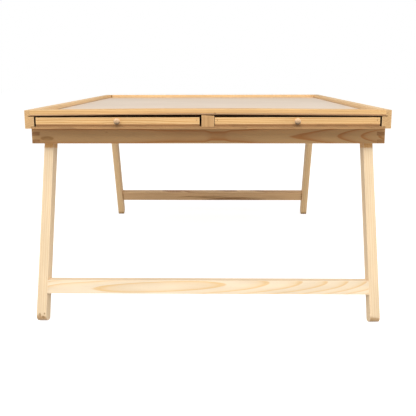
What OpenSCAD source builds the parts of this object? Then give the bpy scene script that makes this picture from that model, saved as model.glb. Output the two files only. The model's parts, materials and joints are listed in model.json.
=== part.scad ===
// Folding tray table with two drawers in the tray box and two splayed folding leg frames.
// Millimetres. +Z up, front of the table towards -Y, origin on the floor under the middle.

/* [Tray box] */
// Width of the tray box, side to side
tray_w = 600; // [520:5:700]
// Depth of the tray box, front to back
tray_d = 472; // [430:2:560]
// Height of the rim above the floor
top_h = 356; // [320:1:400]
// Height of the side rails
rail_h = 30.5; // [30.5:0.5:36]
// Thickness of the four rails
rail_t = 15; // [14:0.5:20]
// Height of the rim above the tray panel
rim_h = 7.2; // [7:0.1:10]
// Thickness of the tray panel
panel_t = 2.2; // [2.2:0.1:3]
// Thickness of the bottom board under the drawers
base_t = 3; // [2.4:0.1:4]
// Width of the divider between the drawers
divider_w = 21; // [16:1:30]

/* [Drawers] */
// Depth of each drawer, front to back
drawer_d = 390; // [250:5:395]
// Thickness of the drawer front
front_t = 14; // [10:1:18]
// Thickness of the drawer sides and back
wall_t = 9; // [6:0.5:12]
// Thickness of the drawer bottom
ply_t = 4.3; // [3:0.1:6]
// Gap between a drawer and the side rail
side_gap = 3.2; // [1:0.1:4]
// Gap between a drawer and the divider
divider_gap = 2; // [1:0.1:4]
// Gap above a closed drawer
top_gap = 2.5; // [1:0.1:3]
// Largest diameter of the drawer knob
knob_dia = 10.5; // [7:0.5:12]

/* [Lower frame] */
// Height of the lower frame
frame_h = 28.5; // [26:0.5:34]
// Setback of the lower frame behind the tray front
setback = 21.5; // [15:0.5:30]
// Thickness of the left and right boards
frame_side_t = 14; // [13:0.5:16]
// Thickness of the front and rear boards
frame_end_t = 15; // [13:0.5:15]

/* [Leg frames] */
// Width of a leg, side to side
leg_w = 16; // [14:0.5:20]
// Depth of a leg, front to back
leg_d = 17; // [17:0.5:18]
// Lean of the legs away from upright, in degrees
splay = 12.9; // [8:0.1:13]
// Thickness of the spacer discs outside the rear legs
spacer_t = 6.3; // [3:0.1:9]
// Radius of the rounded outer corner of the foot
foot_outer_r = 13; // [8:0.5:13]
// Radius of the rounded inner corner of the foot
foot_inner_r = 3.5; // [2:0.5:3.5]
// Height of the front stretcher
front_stretcher_h = 21.6; // [20:0.1:28]
// Height of the rear stretcher
rear_stretcher_h = 25.2; // [20:0.1:28]
// Thickness of the stretchers
stretcher_t = 14; // [10:0.5:15]

/* [Show] */
// Piece to draw, or all of them

/* [Hidden] */
$fn = 48;

// wood and metal colours
pine = [0.90, 0.74, 0.50];
pine_pale = [0.95, 0.85, 0.66];
pine_shade = [0.80, 0.62, 0.40];
ply = [0.72, 0.54, 0.36];
greige = [0.88, 0.81, 0.74];
steel = [0.72, 0.72, 0.72];
brass = [0.80, 0.65, 0.35];

// levels
half_w = tray_w / 2;
half_d = tray_d / 2;
inner_x = half_w - rail_t;
inner_y = half_d - rail_t;
box_z = top_h - rail_h;
base_z = box_z + base_t;
panel_z = top_h - rim_h - panel_t;
frame_z = box_z - frame_h;

// joinery of the tray box
lap = 6;
lap_x = inner_x + lap;
lap_y = inner_y + lap;
slack = 0.2;
kerf_h = 1.2;
kerf_x = lap_x + 3.4;
rabbet_gap = 0.6;
pin_r = 0.9;
pin_len = 34;
pin_up = 3;
pin_low = 5.6;

// lower frame
frame_y = half_d - setback;
frame_in_x = half_w - frame_side_t;
frame_in_y = frame_y - frame_end_t;
finger_h = 6.75;
screw_r = 1.8;
screw_head_r = 3.6;
screw_len = 25;
screw_x = [-210, -70, 70, 210];
side_screw_x = half_w - 6;
side_screw_y = [-120, 0, 120];
side_screw_len = 43;

// hinges, placed so that an open leg leans on the lower inner edge of the end board
hinge_up = 15.5;
stop_gap = 0.5;
hinge_z = frame_z + hinge_up;
hinge_y = frame_in_y - stop_gap - hinge_up * tan(splay) - leg_d / 2 / cos(splay);
bolt_grip = 9;
bolt_r = 3;
run_gap = 0.05;
insert_r = 4.5;
insert_len = 12;
washer_r = 7;
washer_t = 1.2;
head_r = 6;
head_h = 3.2;
play = 0.2;
spacer_r = 9;

// leg frames
front_play = 0.3;
front_frame_w = 2 * (frame_in_x - front_play);
rear_frame_w = 2 * (frame_in_x - spacer_t - play);
leg_tip = (hinge_z - foot_inner_r - (leg_d / 2 - foot_inner_r) * sin(splay)) / cos(splay) + foot_inner_r;
stretcher_up = 46.8;
stretcher_set = 0.5;
dowel_r = 3;
dowel_leg = 11;
dowel_rail = 20;
dowel_pitch = 13;

// drawers
drawer_z = base_z + 0.5;
wall_z = drawer_z + ply_t;
drawer_top = panel_z - top_gap;
drawer_x0 = divider_w / 2 + divider_gap;
drawer_x1 = inner_x - side_gap;
drawer_back = -half_d + drawer_d;
knob_x = (drawer_x0 + drawer_x1) / 2;
knob_z = wall_z + 4.8;
knob_r = knob_dia / 2;
knob_neck = 2.8;
knob_neck_h = 3.2;
knob_rim = 1.8;
dome_r = knob_r * 1.22;
knob_screw_r = 1.4;
brad_r = 0.8;
brad_len = 30;
stop_w = 36;
stop_d = 14;
stop_h = 10;

// box from one corner to the opposite corner
module block(a, b) {
  translate(a)
    cube(b - a);
}

module both_sides() {
  children();
  mirror([1, 0, 0])
    children();
}

// pins driven sideways into the rim corners
module pin_set(r) {
  both_sides() {
    for (z = [top_h - pin_up, top_h - pin_low])
      translate([half_w - pin_len, -half_d + 5 + (top_h - z), z])
        rotate([0, 90, 0])
          cylinder(r = r, h = pin_len);
    for (z = [top_h - pin_low, box_z + pin_low])
      translate([half_w - pin_len, half_d - 8, z])
        rotate([0, 90, 0])
          cylinder(r = r, h = pin_len);
  }
}

module screw(r, head, len) {
  cylinder(r = r, h = len);
  translate([0, 0, len - (head - r)])
    cylinder(r1 = r, r2 = head, h = head - r);
}

module frame_screw_set(extra) {
  for (x = screw_x)
    for (s = [-1, 1])
      translate([x, s * (frame_y - frame_end_t / 2), base_z - screw_len])
        screw(screw_r + extra, screw_head_r + extra, screw_len);
}

module side_screw_set(extra) {
  both_sides()
    for (y = side_screw_y)
      translate([side_screw_x, y, frame_z + side_screw_len])
        rotate([180, 0, 0])
          screw(screw_r + 0.2 + extra, screw_head_r + extra, side_screw_len);
}

// ---------- tray box ----------

module side_rail() {
  difference() {
    block([inner_x, -half_d, box_z], [half_w, half_d, top_h]);
    block([inner_x - 1, -half_d - 1, panel_z - kerf_h], [lap_x, half_d + 1, panel_z + panel_t + slack]);
    block([lap_x - 1, -half_d - 1, panel_z - kerf_h], [kerf_x, half_d + 1, panel_z]);
    block([inner_x - 1, -half_d - 1, panel_z], [lap_x, -inner_y, top_h + 1]);
    block([inner_x - 1, inner_y, box_z - 1], [lap_x, half_d + 1, top_h + 1]);
    block([inner_x - 1, -half_d - 1, box_z - 1], [lap_x - 0.6, half_d + 1, base_z + rabbet_gap]);
    pin_set(pin_r + 0.1);
    side_screw_set(0.1);
  }
}

module side_rail_right() {
  color(pine)
    side_rail();
}

module side_rail_left() {
  color(pine)
    mirror([1, 0, 0])
      side_rail();
}

module front_rail() {
  color(pine)
    difference() {
      block([-lap_x, -half_d, panel_z + panel_t], [lap_x, -inner_y, top_h]);
      pin_set(pin_r + 0.1);
    }
}

module rear_rail() {
  color(pine)
    difference() {
      block([-lap_x, inner_y, box_z], [lap_x, half_d, top_h]);
      block([-lap_x - 1, inner_y - 1, panel_z - slack], [lap_x + 1, lap_y, panel_z + panel_t + slack]);
      block([-lap_x - 1, inner_y - 1, box_z - 1], [lap_x + 1, lap_y, base_z]);
      pin_set(pin_r + 0.1);
    }
}

module tray_panel() {
  color(greige)
    block([-lap_x + slack, -half_d, panel_z], [lap_x - slack, lap_y - slack, panel_z + panel_t]);
}

module bottom_board() {
  color(ply)
    difference() {
      block([-lap_x + 0.8, -half_d, box_z], [lap_x - 0.8, lap_y - slack, base_z]);
      frame_screw_set(0.1);
    }
}

module divider_block() {
  color(pine_pale)
    block([-divider_w / 2, -half_d - 0.8, base_z], [divider_w / 2, -half_d + 30, panel_z]);
}

module divider_runner() {
  color(pine_shade)
    block([-divider_w / 2 + 0.5, -half_d + 30, base_z], [divider_w / 2 - 0.5, inner_y, panel_z]);
}

module drawer_stops() {
  color(pine_shade)
    for (s = [-1, 1])
      translate([s * knob_x, drawer_back + 0.3 + stop_d / 2, base_z + stop_h / 2])
        cube([stop_w, stop_d, stop_h], center = true);
}

module rim_pins() {
  color(steel)
    pin_set(pin_r);
}

// ---------- lower frame ----------

// finger space taken by the front and rear boards, first and third band from the top
module end_fingers(x0, x1, y0, y1) {
  block([x0, y0, frame_z + 3 * finger_h], [x1, y1, box_z]);
  block([x0, y0, frame_z + finger_h], [x1, y1, frame_z + 2 * finger_h]);
}

module end_board() {
  block([-frame_in_x, -frame_y, frame_z], [frame_in_x, -frame_in_y, box_z]);
  both_sides()
    end_fingers(frame_in_x, half_w, -frame_y, -frame_in_y);
}

module frame_front() {
  color(pine_shade)
    difference() {
      end_board();
      frame_screw_set(0.1);
    }
}

module frame_rear() {
  color(pine_shade)
    difference() {
      mirror([0, 1, 0])
        end_board();
      frame_screw_set(0.1);
    }
}

module side_board() {
  difference() {
    block([frame_in_x, -frame_y, frame_z], [half_w, frame_y, box_z]);
    end_fingers(frame_in_x - 1, half_w + 1, -frame_y - 1, -frame_in_y);
    end_fingers(frame_in_x - 1, half_w + 1, frame_in_y, frame_y + 1);
    side_screw_set(0.1);
    for (s = [-1, 1])
      translate([frame_in_x - 1, s * hinge_y, hinge_z])
        rotate([0, 90, 0])
          cylinder(r = insert_r + 0.1, h = insert_len + 1);
  }
}

module frame_right() {
  color(pine_shade)
    side_board();
}

module frame_left() {
  color(pine_shade)
    mirror([1, 0, 0])
      side_board();
}

module frame_screws() {
  color(steel)
    frame_screw_set(0);
}

module side_screws() {
  color(steel)
    side_screw_set(0);
}

// ---------- hinge hardware ----------

module pivot_inserts() {
  color(brass)
    both_sides()
      for (s = [-1, 1])
        translate([frame_in_x, s * hinge_y, hinge_z])
          rotate([0, 90, 0])
            difference() {
              cylinder(r = insert_r, h = insert_len);
              translate([0, 0, -1])
                cylinder(r = bolt_r, h = insert_len - 1);
            }
}

// shoulder bolt with a domed head on the inner face of a leg
module pivot_bolt(inner_face) {
  translate([inner_face - play - washer_t - head_h, 0, 0])
    rotate([0, 90, 0]) {
      intersection() {
        cylinder(r = head_r, h = head_h);
        translate([0, 0, head_r * 1.25])
          sphere(r = head_r * 1.25 + 0.001);
      }
      cylinder(r = bolt_r, h = frame_in_x + bolt_grip - (inner_face - play - washer_t - head_h));
    }
}

module pivot_bolts_front() {
  color(steel)
    both_sides()
      translate([0, -hinge_y, hinge_z])
        pivot_bolt(front_frame_w / 2 - leg_w);
}

module pivot_bolts_rear() {
  color(steel)
    both_sides()
      translate([0, hinge_y, hinge_z])
        pivot_bolt(rear_frame_w / 2 - leg_w);
}

module washer() {
  rotate([0, 90, 0])
    difference() {
      cylinder(r = washer_r, h = washer_t);
      translate([0, 0, -1])
        cylinder(r = bolt_r + 0.1, h = washer_t + 2);
    }
}

module pivot_washers() {
  color(steel)
    both_sides() {
      translate([front_frame_w / 2 - leg_w - play - washer_t, -hinge_y, hinge_z])
        washer();
      translate([rear_frame_w / 2 - leg_w - play - washer_t, hinge_y, hinge_z])
        washer();
    }
}

module rear_spacers() {
  color(pine_pale)
    both_sides()
      translate([rear_frame_w / 2 + play, hinge_y, hinge_z])
        rotate([0, 90, 0])
          difference() {
            cylinder(r = spacer_r, h = spacer_t);
            translate([0, 0, -1])
              cylinder(r = bolt_r + 0.1, h = spacer_t + 2);
          }
}

// ---------- leg frames ----------
// A frame is drawn upright with its hinge line on the X axis, then leaned and moved into place.

module leg_profile() {
  d = leg_d / 2;
  circle(r = d);
  translate([-d, -leg_tip + foot_outer_r])
    square([leg_d, leg_tip - foot_outer_r]);
  translate([-d + foot_outer_r, -leg_tip + foot_inner_r])
    square([leg_d - foot_outer_r, foot_outer_r]);
  translate([-d + foot_outer_r, -leg_tip])
    square([leg_d - foot_outer_r - foot_inner_r, foot_outer_r]);
  translate([d - foot_inner_r, -leg_tip + foot_inner_r])
    circle(r = foot_inner_r);
  intersection() {
    translate([-d + foot_outer_r, -leg_tip + foot_outer_r])
      circle(r = foot_outer_r);
    translate([-d, -leg_tip])
      square([foot_outer_r, foot_outer_r]);
  }
}

// dowels between the right-hand leg and a stretcher of height h, along X
module dowel_pair(r, inner_face, a, b, h) {
  for (s = [-1, 1])
    translate([inner_face - a, -leg_d / 2 + stretcher_set + stretcher_t / 2,
      -leg_tip + stretcher_up + h / 2 + s * dowel_pitch / 2])
      rotate([0, 90, 0])
        cylinder(r = r, h = a + b);
}

module leg(frame_w, h) {
  difference() {
    translate([frame_w / 2 - leg_w, 0, 0])
      rotate([90, 0, 90])
        linear_extrude(height = leg_w)
          leg_profile();
    translate([frame_w / 2 - leg_w - 1, 0, 0])
      rotate([0, 90, 0])
        cylinder(r = bolt_r + run_gap, h = leg_w + 2);
    dowel_pair(dowel_r + 0.1, frame_w / 2 - leg_w, 0, dowel_leg + 0.5, h);
  }
}

module stretcher(frame_w, h) {
  x = frame_w / 2 - leg_w;
  difference() {
    translate([-x, -leg_d / 2 + stretcher_set, -leg_tip + stretcher_up])
      cube([2 * x, stretcher_t, h]);
    both_sides()
      dowel_pair(dowel_r + 0.1, x, dowel_rail + 0.5, 1, h);
  }
}

module dowels(frame_w, h) {
  both_sides()
    dowel_pair(dowel_r, frame_w / 2 - leg_w, dowel_rail, dowel_leg, h);
}

module place_front() {
  translate([0, -hinge_y, hinge_z])
    rotate([-splay, 0, 0])
      children();
}

module place_rear() {
  mirror([0, 1, 0])
    place_front()
      children();
}

module leg_front_right() {
  color(pine_pale)
    place_front()
      leg(front_frame_w, front_stretcher_h);
}

module leg_front_left() {
  color(pine_pale)
    place_front()
      mirror([1, 0, 0])
        leg(front_frame_w, front_stretcher_h);
}

module front_stretcher() {
  color(pine_pale)
    place_front()
      stretcher(front_frame_w, front_stretcher_h);
}

module front_stretcher_dowels() {
  color(pine)
    place_front()
      dowels(front_frame_w, front_stretcher_h);
}

module leg_rear_right() {
  color(pine_pale)
    place_rear()
      leg(rear_frame_w, rear_stretcher_h);
}

module leg_rear_left() {
  color(pine_pale)
    place_rear()
      mirror([1, 0, 0])
        leg(rear_frame_w, rear_stretcher_h);
}

module rear_stretcher() {
  color(pine_pale)
    place_rear()
      stretcher(rear_frame_w, rear_stretcher_h);
}

module rear_stretcher_dowels() {
  color(pine)
    place_rear()
      dowels(rear_frame_w, rear_stretcher_h);
}

// ---------- drawers, drawn on the right and mirrored for the left ----------

module knob_axis() {
  translate([knob_x, -half_d, knob_z])
    rotate([90, 0, 0])
      children();
}

module brads(r) {
  for (x = [drawer_x0 + wall_t / 2, drawer_x1 - wall_t / 2])
    translate([x, -half_d, drawer_top - 4.5])
      rotate([-90, 0, 0])
        cylinder(r = r, h = brad_len);
}

module drawer_front() {
  difference() {
    block([drawer_x0, -half_d, wall_z], [drawer_x1, -half_d + front_t, drawer_top]);
    knob_axis()
      translate([0, 0, -front_t - 1])
        cylinder(r = knob_screw_r + 0.2, h = front_t + 2);
    brads(brad_r + 0.1);
  }
}

module drawer_side(x) {
  difference() {
    block([x, -half_d + front_t, wall_z], [x + wall_t, drawer_back - wall_t, drawer_top]);
    brads(brad_r + 0.1);
  }
}

module drawer_back_wall() {
  block([drawer_x0, drawer_back - wall_t, wall_z], [drawer_x1, drawer_back, drawer_top]);
}

module drawer_bottom() {
  block([drawer_x0, -half_d, drawer_z], [drawer_x1, drawer_back, wall_z]);
}

module knob() {
  dome_y = knob_neck_h + knob_rim;
  knob_axis()
    difference() {
      rotate_extrude() {
        square([knob_neck, knob_neck_h]);
        translate([0, knob_neck_h])
          square([knob_r, knob_rim]);
        intersection() {
          translate([0, dome_y - sqrt(dome_r * dome_r - knob_r * knob_r)])
            circle(r = dome_r);
          translate([0, dome_y])
            square([knob_r, knob_r]);
        }
      }
      translate([0, 0, -1])
        cylinder(r = knob_screw_r + 0.1, h = 5.5);
    }
}

module knob_screw() {
  knob_axis() {
    translate([0, 0, -front_t])
      cylinder(r = knob_screw_r, h = front_t + 4);
    translate([0, 0, -front_t - 1.8])
      cylinder(r = 3.2, h = 1.8);
  }
}

module drawer_right_front() {
  color(pine)
    drawer_front();
}

module drawer_right_side_outer() {
  color(pine_shade)
    drawer_side(drawer_x1 - wall_t);
}

module drawer_right_side_inner() {
  color(pine_shade)
    drawer_side(drawer_x0);
}

module drawer_right_back() {
  color(pine_shade)
    drawer_back_wall();
}

module drawer_right_bottom() {
  color(ply)
    drawer_bottom();
}

module drawer_right_knob() {
  color(pine_pale)
    knob();
}

module drawer_right_knob_screw() {
  color(steel)
    knob_screw();
}

module drawer_right_pins() {
  color(steel)
    brads(brad_r);
}

module drawer_left_front() {
  color(pine)
    mirror([1, 0, 0])
      drawer_front();
}

module drawer_left_side_outer() {
  color(pine_shade)
    mirror([1, 0, 0])
      drawer_side(drawer_x1 - wall_t);
}

module drawer_left_side_inner() {
  color(pine_shade)
    mirror([1, 0, 0])
      drawer_side(drawer_x0);
}

module drawer_left_back() {
  color(pine_shade)
    mirror([1, 0, 0])
      drawer_back_wall();
}

module drawer_left_bottom() {
  color(ply)
    mirror([1, 0, 0])
      drawer_bottom();
}

module drawer_left_knob() {
  color(pine_pale)
    mirror([1, 0, 0])
      knob();
}

module drawer_left_knob_screw() {
  color(steel)
    mirror([1, 0, 0])
      knob_screw();
}

module drawer_left_pins() {
  color(steel)
    mirror([1, 0, 0])
      brads(brad_r);
}

side_rail_left();
side_rail_right();
front_rail();
rear_rail();
tray_panel();
bottom_board();
divider_block();
divider_runner();
drawer_stops();
rim_pins();
frame_front();
frame_rear();
frame_left();
frame_right();
frame_screws();
side_screws();
pivot_inserts();
pivot_bolts_front();
pivot_bolts_rear();
pivot_washers();
rear_spacers();
leg_front_left();
leg_front_right();
front_stretcher();
front_stretcher_dowels();
leg_rear_left();
leg_rear_right();
rear_stretcher();
rear_stretcher_dowels();
drawer_left_front();
drawer_left_side_outer();
drawer_left_side_inner();
drawer_left_back();
drawer_left_bottom();
drawer_left_knob();
drawer_left_knob_screw();
drawer_left_pins();
drawer_right_front();
drawer_right_side_outer();
drawer_right_side_inner();
drawer_right_back();
drawer_right_bottom();
drawer_right_knob();
drawer_right_knob_screw();
drawer_right_pins();
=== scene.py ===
"""Folding tray table: pine boards and legs, greige panel, two drawers, steel and brass pivots.

Metres, in the frame of the CAD model: +Z up, front towards -Y, origin on the floor under the middle.
"""

import json
import math

import bmesh
import bpy
from mathutils import Matrix, Vector

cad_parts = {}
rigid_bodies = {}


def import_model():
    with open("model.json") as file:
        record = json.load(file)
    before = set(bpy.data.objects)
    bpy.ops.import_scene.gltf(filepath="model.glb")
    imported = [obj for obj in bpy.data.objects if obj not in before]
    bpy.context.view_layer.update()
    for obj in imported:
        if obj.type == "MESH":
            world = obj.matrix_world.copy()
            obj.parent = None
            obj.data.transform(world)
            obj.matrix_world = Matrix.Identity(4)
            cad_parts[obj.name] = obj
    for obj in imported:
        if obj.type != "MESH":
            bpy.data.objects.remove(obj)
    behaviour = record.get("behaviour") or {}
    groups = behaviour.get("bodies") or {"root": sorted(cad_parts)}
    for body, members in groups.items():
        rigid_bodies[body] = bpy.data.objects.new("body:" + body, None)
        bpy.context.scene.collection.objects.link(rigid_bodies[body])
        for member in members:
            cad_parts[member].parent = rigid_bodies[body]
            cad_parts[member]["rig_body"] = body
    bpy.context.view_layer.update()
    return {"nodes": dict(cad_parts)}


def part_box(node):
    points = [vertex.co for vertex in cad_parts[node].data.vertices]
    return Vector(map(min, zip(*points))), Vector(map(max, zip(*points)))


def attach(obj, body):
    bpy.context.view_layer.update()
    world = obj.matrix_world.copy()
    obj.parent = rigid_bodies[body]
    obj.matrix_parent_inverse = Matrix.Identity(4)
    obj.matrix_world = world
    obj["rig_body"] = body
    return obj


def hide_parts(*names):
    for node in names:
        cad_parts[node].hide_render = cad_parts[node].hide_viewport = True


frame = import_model()
nodes = frame["nodes"]

MM = 0.001
SPLAY = math.radians(12.9)  # how far the standing legs lean from upright
FILL = 0.50  # strength of the light from all round
KEY = 31.5  # power of the soft key light in front, in watts
TOP = 13.0  # power of the soft light above, in watts
SIDE = 16.0  # power of each soft light at the sides, in watts
FLOOR_GREY = 0.5  # how much light the floor sends back
FLOOR_GLOW = 0.75  # how brightly the floor itself glows where it is seen directly

# ---------------------------------------------------------------- stage


def camera():
    """A 34 mm camera a little above the rim, near the left-right middle, looking slightly down."""
    data = bpy.data.cameras.new("camera")
    data.sensor_width = 36
    data.lens = 33.67
    data.shift_x = -0.0147
    data.shift_y = -0.2103
    data.clip_end = 50
    obj = bpy.data.objects.new("camera", data)
    turn = Matrix.Rotation(math.radians(0.607), 4, "Z")
    tilt = Matrix.Rotation(math.radians(90 - 6.871), 4, "X")
    roll = Matrix.Rotation(math.radians(-0.112), 4, "Z")
    obj.matrix_world = Matrix.Translation((0.0181, -0.8676, 0.4151)) @ turn @ tilt @ roll
    bpy.context.scene.collection.objects.link(obj)
    bpy.context.scene.camera = obj


def softbox(name, place, target, width, height, power):
    """A rectangular soft light at a place, turned towards a target."""
    data = bpy.data.lights.new(name, "AREA")
    data.shape = "RECTANGLE"
    data.size = width
    data.size_y = height
    data.energy = power
    obj = bpy.data.objects.new(name, data)
    aim = (Vector(target) - Vector(place)).to_track_quat("-Z", "Y")
    obj.matrix_world = Matrix.Translation(place) @ aim.to_matrix().to_4x4()
    bpy.context.scene.collection.objects.link(obj)


def floor():
    """A wide pale floor, like a light table: it glows where it is seen, so shadows on it stay faint."""
    half = 8.0
    mesh = bpy.data.meshes.new("floor")
    corners = [(-half, -half, 0), (half, -half, 0), (half, half, 0), (-half, half, 0)]
    mesh.from_pydata(corners, [], [(0, 1, 2, 3)])
    obj = bpy.data.objects.new("floor", mesh)
    bpy.context.scene.collection.objects.link(obj)
    g = Graph("floor", roughness=0.9, specular=0.1)
    g.colour((FLOOR_GREY, FLOOR_GREY, FLOOR_GREY))
    seen = g.add("ShaderNodeLightPath").outputs["Is Camera Ray"]
    g.put(g.shader.inputs["Emission Color"], (1.0, 1.0, 1.0))
    g.put(g.shader.inputs["Emission Strength"], g.math("MULTIPLY", seen, FLOOR_GLOW))
    mesh.materials.append(g.material)


def world():
    """Even white light from all round, with a white backdrop."""
    sky = bpy.data.worlds.new("studio")
    sky.use_nodes = True
    tree = sky.node_tree
    light = tree.nodes["Background"]
    light.inputs["Color"].default_value = (1, 1, 1, 1)
    light.inputs["Strength"].default_value = FILL
    backdrop = tree.nodes.new("ShaderNodeBackground")
    backdrop.inputs["Color"].default_value = (1, 1, 1, 1)
    mix = tree.nodes.new("ShaderNodeMixShader")
    seen = tree.nodes.new("ShaderNodeLightPath")
    tree.links.new(seen.outputs["Is Camera Ray"], mix.inputs[0])
    tree.links.new(light.outputs[0], mix.inputs[1])
    tree.links.new(backdrop.outputs[0], mix.inputs[2])
    tree.links.new(mix.outputs[0], tree.nodes["World Output"].inputs["Surface"])
    bpy.context.scene.world = sky
    bpy.context.scene.view_settings.view_transform = "Standard"


# ---------------------------------------------------------------- material graphs


def linear(rgb):
    """A colour given as 0-255 screen values, in Blender's linear light."""
    def one(v):
        v = v / 255
        return v / 12.92 if v <= 0.04045 else ((v + 0.055) / 1.055) ** 2.4
    return tuple(one(v) for v in rgb) + (1.0,)


class Graph:
    """One material's nodes, written as plain calls."""

    def __init__(self, name, roughness=0.5, specular=0.5, metallic=0.0, coat=0.0, coat_roughness=0.3):
        self.material = bpy.data.materials.new(name)
        self.material.use_nodes = True
        self.tree = self.material.node_tree
        self.shader = self.tree.nodes["Principled BSDF"]
        self.shader.inputs["Roughness"].default_value = roughness
        self.shader.inputs["Specular IOR Level"].default_value = specular
        self.shader.inputs["Metallic"].default_value = metallic
        self.shader.inputs["Coat Weight"].default_value = coat
        self.shader.inputs["Coat Roughness"].default_value = coat_roughness
        self.coords = self.tree.nodes.new("ShaderNodeTexCoord")

    def put(self, socket, value):
        """Links an output to a socket, or sets the socket to a constant."""
        if isinstance(value, bpy.types.NodeSocket):
            self.tree.links.new(value, socket)
        elif isinstance(value, (tuple, list, Vector)) and socket.type == "RGBA" and len(value) == 3:
            socket.default_value = (*value, 1.0)
        else:
            socket.default_value = value

    def add(self, kind, settings=(), **inputs):
        node = self.tree.nodes.new(kind)
        for key, value in settings:
            setattr(node, key, value)
        for key, value in inputs.items():
            self.put(node.inputs[key], value)
        return node

    def math(self, operation, *values, clamp=False):
        node = self.add("ShaderNodeMath", [("operation", operation), ("use_clamp", clamp)])
        for socket, value in zip(node.inputs, values):
            self.put(socket, value)
        return node.outputs[0]

    def vector(self, operation, *values):
        node = self.add("ShaderNodeVectorMath", [("operation", operation)])
        for socket, value in zip(node.inputs, values):
            self.put(socket, value)
        return node.outputs["Value" if operation in ("DOT_PRODUCT", "LENGTH") else "Vector"]

    def split(self, vector):
        node = self.add("ShaderNodeSeparateXYZ", Vector=vector)
        return node.outputs

    def join(self, x, y, z):
        node = self.add("ShaderNodeCombineXYZ", X=x, Y=y, Z=z)
        return node.outputs[0]

    def noise(self, vector, detail=2.0, roughness=0.5, colour=False):
        node = self.add("ShaderNodeTexNoise", Vector=vector, Scale=1.0, Detail=detail, Roughness=roughness)
        return node.outputs["Color" if colour else "Fac"]

    def stretch(self, vector, x, y, z):
        """A point's place in cells of the given size."""
        return self.vector("DIVIDE", vector, (x, y, z))

    def smooth(self, value, low, high, start=0.0, end=1.0):
        """A smooth step from start to end as value goes from low to high."""
        node = self.add("ShaderNodeMapRange", [("interpolation_type", "SMOOTHSTEP")], Value=value)
        for key, number in (("From Min", low), ("From Max", high), ("To Min", start), ("To Max", end)):
            self.put(node.inputs[key], number)
        return node.outputs[0]

    def ramp(self, value, stops):
        """A grey ramp through (position, level) stops."""
        node = self.add("ShaderNodeValToRGB", Fac=value)
        ramp = node.color_ramp
        while len(ramp.elements) < len(stops):
            ramp.elements.new(0.5)
        for element, (position, level) in zip(ramp.elements, stops):
            element.position = position
            element.color = (level, level, level, 1)
        return self.math("ADD", node.outputs["Color"], 0.0)

    def mix(self, factor, a, b):
        node = self.add("ShaderNodeMix", [("data_type", "RGBA")])
        self.put(node.inputs["Factor"], factor)
        self.put(node.inputs["A"], a)
        self.put(node.inputs["B"], b)
        return node.outputs["Result"]

    def colour(self, value):
        self.put(self.shader.inputs["Base Color"], value)

    def rough(self, value):
        self.put(self.shader.inputs["Roughness"], value)

    def bump(self, height, distance):
        """Relief: height 1 stands the given distance, in metres, above height 0."""
        node = self.add("ShaderNodeBump", Height=height, Strength=1.0, Distance=distance)
        self.put(self.shader.inputs["Normal"], node.outputs[0])

    def local(self, centre, grain, across):
        """Places in millimetres from a board's centre: along the grain, across, and through it."""
        axes = Matrix((grain, across, grain.cross(across)))
        self.place = self.add("ShaderNodeMapping", [("vector_type", "TEXTURE")],
                              Vector=self.coords.outputs["Object"], Location=centre,
                              Rotation=axes.transposed().to_euler(), Scale=(MM, MM, MM)).outputs[0]
        self.facing = self.math("ABSOLUTE", self.vector("DOT_PRODUCT", self.coords.outputs["Normal"], grain))
        return self.place


# ---------------------------------------------------------------- wood

X = Vector((1, 0, 0))
Y = Vector((0, 1, 0))
Z = Vector((0, 0, 1))
FRONT_LEG = Vector((0, math.sin(SPLAY), math.cos(SPLAY)))
REAR_LEG = Vector((0, -math.sin(SPLAY), math.cos(SPLAY)))

# each timber's pale early wood and darker late wood, as 0-255 screen values
HONEY = dict(early=(228, 188, 131), late=(196, 136, 70))
PALE = dict(early=(234, 210, 174), late=(208, 158, 96))
WARM = dict(early=(230, 198, 152), late=(204, 150, 88))
KNOB = dict(early=(236, 206, 172), late=(212, 170, 126))
CREAM = dict(early=(238, 218, 189), late=(228, 186, 122))
RAIL = dict(early=(230, 196, 148), late=(204, 156, 98))
BLOCK = dict(early=(194, 152, 102), late=(152, 106, 61))
TAN = dict(early=(181, 142, 94), late=(160, 104, 50))
DULL = dict(early=(228, 190, 142), late=(158, 98, 50))

# what multiplies the wood's colour in these places
FLAME_AND_SHADOW_TINT = (0.46, 0.37, 0.26)
PAINTED_SHADOW_TINT = (0.92, 0.68, 0.40)
PORE_TINT = (0.76, 0.70, 0.64)
# a knot's ring colours, as 0-255 screen values
KNOT_PALE = (178, 136, 84)
KNOT_DARK = (132, 92, 44)


def pith_line(g, x, start, slope, sweep=(0, 0, 0), swells=()):
    """Where the pith runs, along x: a start, a slope, a parabola past a point and smooth swells.

    sweep is (x where it begins, curve, side), side 1 for larger x only, 0 for both ways.
    """
    line = g.math("MULTIPLY_ADD", x, slope, start)
    begin, curve, side = sweep
    if curve:
        past = g.math("SUBTRACT", x, begin)
        if side:
            past = g.math("MAXIMUM", past, 0.0)
        line = g.math("MULTIPLY_ADD", g.math("MULTIPLY", past, past), curve, line)
    for low, high, rise in swells:
        line = g.math("ADD", line, g.smooth(x, low, high, 0.0, rise))
    return line


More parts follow.
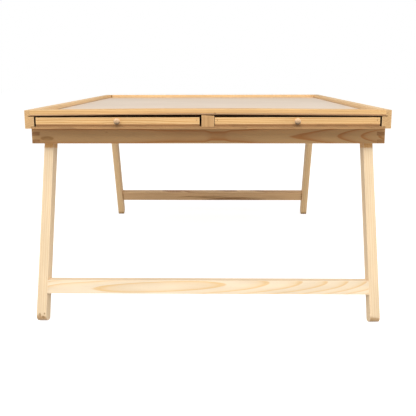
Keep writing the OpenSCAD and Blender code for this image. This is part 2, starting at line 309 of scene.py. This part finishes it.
def wood(name, node, grain, across, early, late, pith=(22.0, 5.0), slope=(0.0, 0.0), sweep=(0, 0, 0),
         swells=(), spacing=3.0, phase=0.0, wave=1.2, jitter=1.6, contrast=0.8, fibres=0.5, knots=(),
         streaks=(), seed=0.0, painted_shadow_from=None, painted_shading=None, end_tint=(0.87, 0.81, 0.73), shade=None,
         edge_light=0.35):
    """Softwood with growth rings about a pith line, all in millimetres along, across and through a board.

    streaks are dark flames in the grain, or painted shadows, as (along, across, half length, half height).
    heart is how far along the grain a painted shadow, darker and redder, begins. tones is painted shade and
    light: how bright the board is painted at its lowest and highest place across, and end_tint darkens its
    end
    grain. shade is (way, level, limit): painted shade that darkens the face that looks that way, up to a
    limit across the board.
    """
    low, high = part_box(node)
    g = Graph(name, roughness=0.5, specular=0.35, coat=0.12, coat_roughness=0.35)
    place = g.local((low + high) / 2, grain, across)
    along, across_board, _ = g.split(place)
    box = box_along(node, grain, across)
    seeded = g.vector("ADD", place, (seed * 37.0, seed * 11.0, seed * 5.0))

    # slow waviness of the grain
    warp = g.noise(g.stretch(seeded, 95, 26, 26), detail=2.0, colour=True)
    warp = g.vector("SCALE", g.vector("SUBTRACT", warp, (0.5, 0.5, 0.5)))
    warp.node.inputs["Scale"].default_value = 2 * wave
    x, y, z = g.split(g.vector("ADD", place, warp))

    # distance from the pith
    from_y = g.math("SUBTRACT", y, pith_line(g, x, pith[0], slope[0]))
    from_z = g.math("SUBTRACT", z, pith_line(g, x, pith[1], slope[1], sweep, swells))
    radius = g.math("SQRT", g.math("MULTIPLY_ADD", from_y, from_y, g.math("MULTIPLY", from_z, from_z)))

    # knots push the rings apart
    knot_mask = 0.0
    for kx, ky, kz, length, height in knots:
        offset = g.vector("SUBTRACT", place, (kx, ky, kz))
        distance = g.vector("LENGTH", g.vector("DIVIDE", offset, (length, height, 2.5 * height)))
        radius = g.math("ADD", radius, g.smooth(distance, 0.0, 2.2, 0.35 * height, 0.0))
        knot_mask = g.math("MAXIMUM", g.smooth(distance, 0.8, 1.1, 1.0, 0.0), knot_mask)

    # ring profile: pale early wood that darkens to a late-wood line, then stops
    uneven = g.noise(g.join(g.math("DIVIDE", radius, 7.0), seed, 0.0), detail=1.0)
    turn = g.math("ADD", g.math("DIVIDE", radius, spacing), g.math("MULTIPLY_ADD", uneven, jitter, phase))
    late_wood = g.ramp(g.math("FRACT", turn),
                       [(0.0, 0.0), (0.45, 0.1), (0.72, 0.4), (0.88, 1.0), (0.96, 0.9), (1.0, 0.0)])

    # fibres, flecks and slow changes of tone
    fibre = g.noise(g.stretch(seeded, 42, 0.55, 0.55), detail=3.0, roughness=0.6)
    fleck = g.smooth(g.noise(g.stretch(seeded, 7, 0.35, 0.35), detail=1.0), 0.66, 0.78)
    tone = g.noise(g.stretch(seeded, 120, 18, 18), detail=2.0)

    amount = g.math("MULTIPLY_ADD", g.math("SUBTRACT", fibre, 0.5), fibres,
                    g.math("MULTIPLY", late_wood, contrast), clamp=True)
    colour = g.mix(amount, linear(early), linear(late))
    deep = tuple(0.62 * v for v in late)
    colour = g.mix(g.math("MULTIPLY", fleck, 0.22), colour, linear(deep))
    level = g.smooth(tone, 0.3, 0.7, 0.94, 1.05)
    colour = g.vector("MULTIPLY", colour, g.join(level, level, level))
    # dark flames in the grain, and painted shadows where a streak stands for shade
    for sx, sy, length, height in streaks:
        flame_or_shadow = g.vector("SUBTRACT", g.join(x, y, 0.0), (sx, sy, 0.0))
        distance = g.vector("LENGTH", g.vector("DIVIDE", flame_or_shadow, (length, height, 1.0)))
        along_fibres = g.smooth(fibre, 0.36, 0.56, 0.2, 1.0)
        depth = g.math("MULTIPLY", g.smooth(distance, 0.35, 1.1, 1.0, 0.0), along_fibres)
        colour = g.mix(depth, colour, g.vector("MULTIPLY", colour, FLAME_AND_SHADOW_TINT))
    # painted shade and light: the board is painted darker at one edge across it and lighter at the other
    if painted_shading:
        level = g.smooth(across_board, box[0][1], box[1][1], *painted_shading)
        colour = g.vector("MULTIPLY", colour, g.join(level, level, level))
    # painted shadow, darker and redder, past a point along the grain: the shade under the frame on the front
    # legs' upper ends
    if painted_shadow_from:
        begin = g.math("MULTIPLY_ADD", g.noise(g.stretch(seeded, 9, 3, 3)), 2.0, painted_shadow_from)
        in_painted_shadow = g.smooth(g.math("SUBTRACT", along, begin), -1.0, 1.0)
        colour = g.mix(in_painted_shadow, colour, g.vector("MULTIPLY", colour, PAINTED_SHADOW_TINT))

    if knots:
        rings = g.math("SINE", g.math("MULTIPLY", radius, 4.0))
        knot_depth = g.math("MULTIPLY_ADD", rings, 0.25, 0.5)
        knot_colour = g.mix(knot_depth, linear(KNOT_PALE), linear(KNOT_DARK))
        colour = g.mix(knot_mask, colour, knot_colour)

    # end grain: darker, with fine pores
    end = g.smooth(g.facing, 0.06, 0.35)
    pores = g.smooth(g.noise(g.stretch(seeded, 0.8, 0.45, 0.45), detail=2.0), 0.45, 0.65)
    end_colour = g.vector("MULTIPLY", colour, g.mix(pores, (1.0, 1.0, 1.0), PORE_TINT))
    end_colour = g.vector("MULTIPLY", end_colour, end_tint)
    colour = g.mix(end, colour, end_colour)

    # painted shade: faces that look one way are darkened, up to a limit across the board
    if shade:
        way, level, limit = shade
        looking = g.smooth(g.vector("DOT_PRODUCT", g.coords.outputs["Normal"], way), 0.0, 0.9)
        below = g.smooth(across_board, limit - 0.4, limit + 0.4, 1.0, 0.0)
        dark = g.math("MULTIPLY_ADD", g.math("MULTIPLY", looking, below), level - 1, 1.0)
        colour = g.vector("MULTIPLY", colour, g.join(dark, dark, dark))

    # sanded edges are paler, with a painted highlight along the arrises where light catches them
    edge = edge_mask(g, box)
    pale = linear(tuple(min(255, v + 14) for v in early))
    g.colour(g.mix(g.math("MULTIPLY", edge, edge_light), colour, pale))

    roughness = g.math("MULTIPLY_ADD", fibre, 0.16, 0.38)
    roughness = g.math("MULTIPLY_ADD", late_wood, -0.06, roughness)
    g.rough(g.math("MULTIPLY_ADD", end, 0.22, roughness))
    relief = g.math("MULTIPLY_ADD", fibre, 0.6, g.math("MULTIPLY", late_wood, 0.35))
    relief = g.math("MULTIPLY_ADD", pores, g.math("MULTIPLY", end, -0.5), relief)
    g.bump(relief, 0.00012)
    return g.material


def edge_mask(g, box):
    """1 along the board's long edges, falling to 0 about a millimetre away, broken up by noise."""
    half = [(b - a) / 2 for a, b in zip(*box)]
    a, b, c = [g.math("SUBTRACT", h, g.math("ABSOLUTE", v)) for h, v in zip(half, g.split(g.place))]
    middle = g.math("MAXIMUM", g.math("MINIMUM", a, b), g.math("MINIMUM", g.math("MAXIMUM", a, b), c))
    ragged = g.noise(g.stretch(g.place, 14, 3, 3), detail=2.0)
    reach = g.math("MULTIPLY_ADD", ragged, 1.6, 0.3)
    return g.smooth(g.math("DIVIDE", middle, reach), 0.4, 1.0, 1.0, 0.0)


def box_along(node, grain, across):
    """A node's lowest and highest corners in a board's own axes, in millimetres from its box's centre."""
    low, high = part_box(node)
    centre = (low + high) / 2
    axes = Matrix((grain, across, grain.cross(across)))
    points = [axes @ (v.co - centre) for v in nodes[node].data.vertices]
    lows = [min(p[i] for p in points) / MM for i in range(3)]
    highs = [max(p[i] for p in points) / MM for i in range(3)]
    return lows, highs


# ---------------------------------------------------------------- other materials


def veneer(name, node, rim, seed):
    """Three-ply board lying flat: rotary-cut faces along X, and a darker middle ply at its edges.

    rim is how bright its outer plies are at the edges, against its faces.
    """
    face = (214, 168, 116)
    core = (150, 102, 60)
    low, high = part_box(node)
    thickness = (high.z - low.z) / MM
    g = Graph(name, roughness=0.6, specular=0.3)
    place = g.local((low + high) / 2, X, Y)
    seeded = g.vector("ADD", place, (seed * 31.0, seed * 17.0, 0.0))
    swirl = g.noise(g.stretch(seeded, 210, 46, 46), detail=2.0)
    line = g.ramp(g.math("FRACT", g.math("MULTIPLY", swirl, 11.0)),
                  [(0.0, 0.1), (0.5, 0.3), (0.8, 0.9), (0.95, 1.0), (1.0, 0.1)])
    fibre = g.noise(g.stretch(seeded, 30, 0.6, 0.6), detail=3.0, roughness=0.6)
    fuzz = g.math("MULTIPLY", g.math("SUBTRACT", fibre, 0.4), 0.9)
    amount = g.math("MULTIPLY_ADD", line, 0.5, fuzz, clamp=True)
    dark = tuple(0.78 * v for v in face)
    colour = g.mix(amount, linear(face), linear(dark))

    height = g.math("DIVIDE", g.split(place)[2], thickness)
    ragged = g.math("MULTIPLY_ADD", fibre, 0.14, 0.09)
    ply = g.smooth(g.math("SUBTRACT", g.math("ABSOLUTE", height), ragged), -0.03, 0.03, 1.0, 0.0)
    dots = g.noise(g.stretch(seeded, 0.9, 0.9, 0.3), detail=2.0)
    core_colour = g.mix(dots, linear(core), linear(tuple(0.7 * v for v in core)))
    edge_colour = g.mix(ply, g.vector("MULTIPLY", colour, rim), core_colour)
    flat = g.smooth(g.math("ABSOLUTE", g.vector("DOT_PRODUCT", g.coords.outputs["Normal"], Z)), 0.6, 0.9)
    g.colour(g.mix(flat, edge_colour, colour))
    g.rough(g.math("MULTIPLY_ADD", fibre, 0.2, 0.48))
    g.bump(g.math("MULTIPLY_ADD", line, 0.3, fibre), 0.0001)
    return g.material


def laminate(name, node):
    """Smooth greige face with a faint stipple, over a brown fibre board that shows at its edges and below.

    A painted dark line, standing in for shade, runs along its joint with each side rail, and a painted warm
    reflection of the rear rail tints its rear.
    """
    low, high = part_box(node)
    g = Graph(name, roughness=0.42, specular=0.35)
    place = g.local((low + high) / 2, X, Y)
    cloud = g.noise(g.stretch(place, 160, 90, 90), detail=3.0)
    streak = g.noise(g.stretch(place, 70, 1.4, 1.4), detail=2.0)
    speck = g.smooth(g.noise(g.stretch(place, 0.9, 0.9, 0.9), detail=1.0), 0.68, 0.76)
    top = g.mix(g.smooth(cloud, 0.3, 0.7), linear((217, 199, 180)), linear((223, 206, 188)))
    top = g.mix(g.math("MULTIPLY", streak, 0.25), top, linear((208, 188, 166)))
    top = g.mix(g.math("MULTIPLY", speck, 0.25), top, linear((176, 152, 128)))
    inner = -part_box("side_rail_left")[1].x / MM
    # a painted dark line along the joint with each side rail, standing in for shade there
    painted_joint_shadow = g.smooth(g.math("ABSOLUTE", g.split(place)[0]), inner - 3.4, inner - 1.6, 0.0, 0.85)
    top = g.mix(painted_joint_shadow, top, linear((138, 98, 62)))
    # a painted warm reflection of the rear rail near the panel's rear edge
    painted_rear_reflection = g.smooth(g.split(place)[1], 130, 220, 0.0, 1.0)
    top = g.mix(painted_rear_reflection, top, g.vector("MULTIPLY", top, (0.96, 0.84, 0.70)))

    fibre = g.noise(g.stretch(place, 5.0, 5.0, 0.5), detail=3.0, roughness=0.7)
    core = g.mix(fibre, linear((196, 154, 112)), linear((150, 106, 70)))
    up = g.smooth(g.vector("DOT_PRODUCT", g.coords.outputs["Normal"], Z), 0.5, 0.85)
    g.colour(g.mix(up, core, top))
    stipple = g.noise(g.stretch(place, 0.7, 0.7, 0.7), detail=2.0)
    g.rough(g.mix(up, g.math("MULTIPLY_ADD", fibre, 0.2, 0.62), g.math("MULTIPLY_ADD", stipple, 0.14, 0.36)))
    g.bump(g.mix(up, fibre, g.math("MULTIPLY", stipple, 0.35)), 0.00009)
    return g.material


def metal(name, colour, dull, roughness=0.32, cell=3.0):
    """Plated metal: dulled in patches, with fine scratches."""
    g = Graph(name, roughness=roughness, metallic=1.0)
    place = g.vector("DIVIDE", g.coords.outputs["Object"], (MM, MM, MM))
    patch = g.smooth(g.noise(g.stretch(place, cell, cell, cell), detail=3.0), 0.42, 0.68)
    scratch = g.smooth(g.noise(g.stretch(place, 0.2, 2.4, 0.2), detail=2.0), 0.60, 0.72)
    g.colour(g.mix(g.math("MULTIPLY", patch, 0.7), linear(colour), linear(dull)))
    rough = g.math("MULTIPLY_ADD", patch, 0.25, roughness)
    g.rough(g.math("MULTIPLY_ADD", scratch, 0.12, rough))
    g.bump(g.math("MULTIPLY_ADD", scratch, -0.6, patch), 0.00002)
    return g.material


# ---------------------------------------------------------------- pieces


def dress(obj, material):
    """Gives a CAD node or a piece its material."""
    obj.data.materials.clear()
    obj.data.materials.append(material)


def soften(obj, width=0.7, segments=3):
    """Rounds an object's edges with modifiers, width in millimetres."""
    weld = obj.modifiers.new("weld", "WELD")
    weld.merge_threshold = 0.00001
    flat = obj.modifiers.new("flat", "DECIMATE")
    flat.decimate_type = "DISSOLVE"
    flat.angle_limit = math.radians(0.5)
    bevel = obj.modifiers.new("bevel", "BEVEL")
    bevel.width = width * MM
    bevel.segments = segments
    bevel.limit_method = "ANGLE"
    bevel.angle_limit = math.radians(35)
    bevel.harden_normals = True
    bevel.use_clamp_overlap = True


def stand_in(name, bm, node):
    """Makes a mesh the piece that is shown in place of a CAD node, on the same body."""
    mesh = bpy.data.meshes.new(name)
    bm.to_mesh(mesh)
    bm.free()
    obj = bpy.data.objects.new(name, mesh)
    bpy.context.scene.collection.objects.link(obj)
    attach(obj, nodes[node]["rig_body"])
    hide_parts(node)
    return obj


def warped(name, node, lift, columns=24, rows=6):
    """A CAD node cut into strips along X and Y, each point lifted by lift(place), in millimetres."""
    bm = bmesh.new()
    bm.from_mesh(nodes[node].data)
    bmesh.ops.remove_doubles(bm, verts=bm.verts, dist=0.00001)
    bmesh.ops.dissolve_limit(bm, angle_limit=math.radians(0.5), verts=bm.verts, edges=bm.edges)
    low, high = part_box(node)
    for axis, count in ((X, columns), (Y, rows)):
        for i in range(1, count):
            cut = low + (high - low) * (i / count)
            everything = bm.verts[:] + bm.edges[:] + bm.faces[:]
            bmesh.ops.bisect_plane(bm, geom=everything, plane_co=cut, plane_no=axis)
    for v in bm.verts:
        v.co.z += lift(v.co) * MM
    return stand_in(name, bm, node)


def solids(node):
    """The box of each separate solid in a node, as (lowest, highest) corners, in order along X and then Y."""
    bm = bmesh.new()
    bm.from_mesh(nodes[node].data)
    bmesh.ops.remove_doubles(bm, verts=bm.verts, dist=0.00001)
    found = []
    todo = set(bm.verts)
    while todo:
        island = set()
        front = [todo.pop()]
        while front:
            v = front.pop()
            island.add(v)
            for edge in v.link_edges:
                other = edge.other_vert(v)
                if other in todo:
                    todo.remove(other)
                    front.append(other)
        low = Vector([min(v.co[i] for v in island) for i in range(3)])
        high = Vector([max(v.co[i] for v in island) for i in range(3)])
        found.append((low, high))
    bm.free()
    return sorted(found, key=lambda box: (round(box[0].x, 4), round(box[0].y, 4)))


def hexagon(flat):
    """The outline of a hexagon recess, half its width across flats, as a radius by angle."""
    sixth = math.pi / 3
    return lambda a: flat / math.cos((a + sixth / 2) % sixth - sixth / 2)


def cross(reach, arm):
    """The outline of a cross recess: how far its arms reach, and half their width, as a radius by angle."""
    quarter = math.pi / 2

    def radius(a):
        b = abs((a + quarter / 2) % quarter - quarter / 2)
        return reach / math.cos(b) if math.tan(b) < arm / reach else arm / math.sin(b)
    return radius


def turned(name, node, rings, outward, segments=48):
    """Turned pieces in place of each solid of a node.

    rings are (depth below the outer face, radius or outline) in millimetres, and a depth of None is the far
    end. outward(middle) is the way the outer face looks.
    """
    bm = bmesh.new()
    for low, high in solids(node):
        middle = (low + high) / 2
        way = outward(middle)
        half = abs((high - low).dot(way)) / 2
        spin = way.to_track_quat("Z", "Y").to_matrix()
        loops = []
        for depth, radius in rings:
            level = half - (2 * half if depth is None else depth * MM)
            loop = []
            for i in range(segments):
                a = math.tau * (i + 0.5) / segments
                r = (radius(a) if callable(radius) else radius) * MM
                loop.append(bm.verts.new(middle + spin @ Vector((r * math.cos(a), r * math.sin(a), level))))
            loops.append(loop)
        for upper, lower in zip(loops, loops[1:]):
            for i in range(segments):
                j = (i + 1) % segments
                bm.faces.new((upper[i], lower[i], lower[j], upper[j]))
        bm.faces.new(loops[0])
        bm.faces.new(loops[-1][::-1])
    bm.normal_update()
    for face in bm.faces:
        face.smooth = True
    for edge in bm.edges:
        edge.smooth = edge.calc_face_angle(0.0) < math.radians(40)
    return stand_in(name, bm, node)


# ---------------------------------------------------------------- the table

LEFT_RIGHT = ("left", "right")
# the panel's underside above the middle of the side rails, in millimetres
UNDER_PANEL = (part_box("tray_panel")[0].z - sum(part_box("side_rail_left"), Vector()).z / 2) / MM

# a shade's limit that lies beyond the edge of any board, in millimetres
WHOLE_FACE = 99
# a painted shadow on the lower ends of the rear legs, and what multiplies their end grain's colour, darkened
# further as painted shade at the feet
FOOT_PAINTED_SHADOW = ((-162, 0, 8, 40),)
REAR_END_GRAIN_AND_SHADE = (0.62, 0.52, 0.44)

BOARDS = [
    # node, grain, across, colours, and what is special about its figure and its painted shade and light
    # the side rails' inner faces below the panel carry painted shade, for the dark gaps beside the drawers
    ("side_rail_left", Y, Z, RAIL, dict(pith=(30, 10), spacing=2.6, wave=1.0, shade=(X, 0.2, UNDER_PANEL))),
    ("side_rail_right", Y, Z, RAIL, dict(pith=(34, 14), spacing=2.4, wave=1.0, shade=(-X, 0.2, UNDER_PANEL))),
    ("front_rail", X, Z, HONEY,
     dict(pith=(46, 10), slope=(0.004, 0.0), spacing=3.1, wave=1.6, contrast=1.0,
          knots=((12.7, -2.0, 8.5, 2.6, 1.4),))),
    ("rear_rail", X, Z, RAIL,
     dict(pith=(40, 16), spacing=2.4, wave=1.2, knots=((-281, 11, 8.5, 2.5, 5.0),))),
    ("divider_block", Z, X, BLOCK, dict(pith=(20, 10), spacing=5.0, contrast=0.4)),
    ("divider_runner", Y, Z, HONEY, dict(pith=(20, 10))),
    ("drawer_stops", X, Y, HONEY, dict(pith=(20, 10))),
    # the apron is painted darker towards its lower edge and lighter towards its upper edge: painted shade and
    # light
    ("frame_front", X, Z, TAN,
     dict(pith=(-1.5, 36.1), sweep=(120, -0.00043, 1),
          swells=((-40, -150, -1.3), (-6, 8, 0.8), (28, 42, -0.8), (45, 118, -1.95)),
          spacing=4.0, phase=0.38, jitter=0.0, wave=0.7, contrast=0.95, fibres=0.3, painted_shading=(0.86, 1.12),
          knots=((-274, -5.2, 7.5, 12, 4.2), (-172, 4.7, 7.5, 2.5, 0.9)))),
    ("frame_rear", X, Z, TAN, dict(pith=(4, 26), spacing=4.0, wave=1.6)),
    ("frame_left", Y, Z, TAN, dict(pith=(30, 6), spacing=3.2, end_tint=(0.74, 0.66, 0.56))),
    ("frame_right", Y, Z, TAN, dict(pith=(26, 9), spacing=3.2, end_tint=(0.74, 0.66, 0.56))),
    ("rear_spacers", X, Y, PALE, dict(pith=(15, 5))),
    ("leg_front_left", FRONT_LEG, X, PALE,
     dict(pith=(26, 18), spacing=2.4, contrast=0.42, painted_shadow_from=127, end_tint=(0.84, 0.72, 0.60),
          streaks=((-151, -3, 3.5, 3), (-155, 3, 3, 3), (-149, 5, 2, 2)))),
    ("leg_front_right", FRONT_LEG, X, PALE,
     dict(pith=(-30, 20), spacing=2.2, contrast=0.42, painted_shadow_from=127, end_tint=(0.80, 0.70, 0.58))),
    ("leg_rear_left", REAR_LEG, X, WARM,
     dict(pith=(24, -18), spacing=2.4, contrast=0.6, end_tint=REAR_END_GRAIN_AND_SHADE, streaks=FOOT_PAINTED_SHADOW)),
    ("leg_rear_right", REAR_LEG, X, WARM,
     dict(pith=(-20, 22), spacing=2.6, contrast=0.6, end_tint=REAR_END_GRAIN_AND_SHADE, streaks=FOOT_PAINTED_SHADOW)),
    ("front_stretcher", X, FRONT_LEG, CREAM,
     dict(pith=(3.4, 23.9), slope=(0.035, 0.0), sweep=(-80, 0.000146, 0), swells=((-262, -180, 1.7),),
          spacing=3.2, phase=0.6, jitter=0.0, wave=0.5, contrast=0.75, fibres=0.25)),
    # the two streaks at the ends of the rear stretcher, beside the legs, are painted shadows
    ("rear_stretcher", X, REAR_LEG, DULL,
     dict(pith=(-30, -8), slope=(0.012, 0.0), spacing=3.2, wave=3.0, contrast=0.7,
          streaks=((60, -7, 100, 4.6), (-30, -2, 90, 3.2), (110, -11, 60, 2.6), (20, -10, 60, 2.2),
                   (-264, 0, 4, 18), (264, 0, 4, 18)))),
    ("front_stretcher_dowels", X, Y, PALE, {}),
    ("rear_stretcher_dowels", X, Y, PALE, {}),
    # the drawer fronts' top faces carry painted shade, under the front rail
    ("drawer_left_front", X, Z, HONEY,
     dict(pith=(26, 9), slope=(-0.012, 0.0), spacing=3.3, wave=3.0, contrast=1.0,
          shade=(Z, 0.5, WHOLE_FACE))),
    ("drawer_right_front", X, Z, HONEY,
     dict(pith=(38, 12), slope=(0.01, 0.0), spacing=2.9, wave=1.2, contrast=1.0,
          shade=(Z, 0.5, WHOLE_FACE))),
]
for side in LEFT_RIGHT:
    BOARDS += [
        (f"drawer_{side}_side_outer", Y, Z, HONEY, dict(pith=(30, 10))),
        (f"drawer_{side}_side_inner", Y, Z, HONEY, dict(pith=(30, 10))),
        (f"drawer_{side}_back", X, Z, HONEY, dict(pith=(30, 10))),
        # the knobs are painted darker towards the bottom and lighter towards the top, with painted shade on
        # their undersides
        (f"drawer_{side}_knob", Y, Z, KNOB,
         dict(pith=(1, 1), spacing=1.5, painted_shading=(0.5, 1.2), edge_light=0.0, shade=(-Z, 0.3, WHOLE_FACE))),
    ]

BEND = 2.3  # how far the front rail and the panel's front edge bow up in the middle, in millimetres
BLOCK_LIFT = 1.4  # how much taller the divider block is at its left side, in millimetres
BLOCK_SHIFT = 1.2  # how far the divider block stands to the right of the middle, in millimetres


def bowed(place):
    """The rise of the front rail and panel: most at the middle of the front, none at the ends and rear."""
    low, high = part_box("tray_panel")
    return BEND * (1 - (place.x / high.x) ** 2) * (high.y - place.y) / (high.y - low.y)


def uneven_top(place):
    """The divider block's top slopes down to the right."""
    low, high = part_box("divider_block")
    return BLOCK_LIFT * (high.x - place.x) / (high.x - low.x) * (place.z - low.z) / (high.z - low.z)


def divider_block():
    """The divider block, uneven at its top and set a little to the right of the middle."""
    block = warped("divider_block_cut", "divider_block", uneven_top, 2, 2)
    for v in block.data.vertices:
        v.co.x += BLOCK_SHIFT * MM
    return block


def warped_pieces():
    """The bowed front rail and panel, and the uneven divider block, by the node that each stands for."""
    return {
        "front_rail": warped("front_rail_bowed", "front_rail", bowed),
        "tray_panel": warped("tray_panel_bowed", "tray_panel", bowed),
        "divider_block": divider_block(),
    }


def knobs():
    """Turned knobs with a domed face and a waisted neck, by the node that each stands for."""
    dome = [(0.0, 0.9), (0.14, 2.1), (0.47, 3.25), (1.05, 4.25), (1.85, 4.95), (2.9, 5.25), (3.7, 5.0),
            (4.4, 4.25), (5.0, 3.3), (5.8, 2.8), (None, 2.9)]
    return {
        f"drawer_{side}_knob": turned(f"drawer_{side}_knob_turned", f"drawer_{side}_knob", dome, lambda m: -Y)
        for side in LEFT_RIGHT
    }


def fasteners():
    """Socket-head pivot bolts, cross-head wood screws and pan-head knob screws, all plated steel."""
    bolt = [(2.1, hexagon(1.7)), (0.35, hexagon(1.9)), (0.0, 2.4), (0.25, 3.6), (0.85, 4.7), (1.7, 5.5),
            (2.5, 5.9), (3.0, 6.0), (3.2, 5.85), (3.2, 3.0), (None, 3.0)]
    flat_head = [(1.7, cross(0.5, 0.25)), (0.1, cross(2.1, 0.42)), (0.0, 2.3), (0.0, 3.35), (0.2, 3.6),
                 (1.8, 2.0), (3.0, 1.7), (None, 1.4)]
    pan_head = [(1.2, cross(0.4, 0.2)), (0.1, cross(1.5, 0.35)), (0.0, 1.7), (0.15, 2.3), (0.6, 2.9),
                (1.2, 3.2), (1.8, 3.1), (1.8, 1.4), (None, 1.3)]
    made = [turned(f"pivot_bolt_{end}_pair", f"pivot_bolts_{end}", bolt, lambda m: -X if m.x > 0 else X)
            for end in ("front", "rear")]
    made.append(turned("side_screw_set", "side_screws", flat_head, lambda m: -Z))
    made.append(turned("frame_screw_set", "frame_screws", flat_head, lambda m: Z))
    made += [turned(f"drawer_{side}_knob_screw_pan", f"drawer_{side}_knob_screw", pan_head, lambda m: Y)
             for side in LEFT_RIGHT]
    return made


world()
camera()
floor()
softbox("key", (0.0, -1.58, 1.79), (0, -0.2, 0.3), 2.4, 1.1, KEY)
softbox("top", (0.0, -0.6, 2.3), (0, -0.2, 0.2), 1.8, 1.0, TOP)
for x in (-1.9, 1.9):
    softbox("side", (x, -0.45, 0.5), (0, 0, 0.2), 1.0, 0.9, SIDE)

shown = dict(nodes)
shown.update(warped_pieces())
shown.update(knobs())
for number, (node, grain, across, colours, figure) in enumerate(BOARDS):
    dress(shown[node], wood(node, node, grain, across, **colours, **figure, seed=number + 1.0))
    if not node.endswith("_knob"):
        soften(shown[node])

dress(shown["tray_panel"], laminate("laminate", "tray_panel"))
soften(shown["tray_panel"], 0.25, 2)
dress(nodes["bottom_board"], veneer("bottom_board", "bottom_board", (0.96, 0.94, 0.90), seed=1.0))
soften(nodes["bottom_board"], 0.3, 2)
for number, side in enumerate(LEFT_RIGHT):
    node = f"drawer_{side}_bottom"
    dress(nodes[node], veneer(node, node, (0.70, 0.60, 0.50), seed=number + 2.0))
    soften(nodes[node], 0.3, 2)

zinc = metal("zinc", (196, 196, 192), (150, 148, 140))
nail = metal("nail", (214, 170, 128), (186, 134, 92), roughness=0.6, cell=1.0)
brass = metal("brass", (214, 178, 104), (160, 124, 66))
for piece in fasteners():
    dress(piece, zinc)
dress(nodes["pivot_washers"], zinc)
soften(nodes["pivot_washers"], 0.25, 2)
dress(nodes["pivot_inserts"], brass)
soften(nodes["pivot_inserts"], 0.3, 2)
for node in ["rim_pins"] + [f"drawer_{side}_pins" for side in LEFT_RIGHT]:
    dress(nodes[node], nail)
    soften(nodes[node], 0.2, 2)
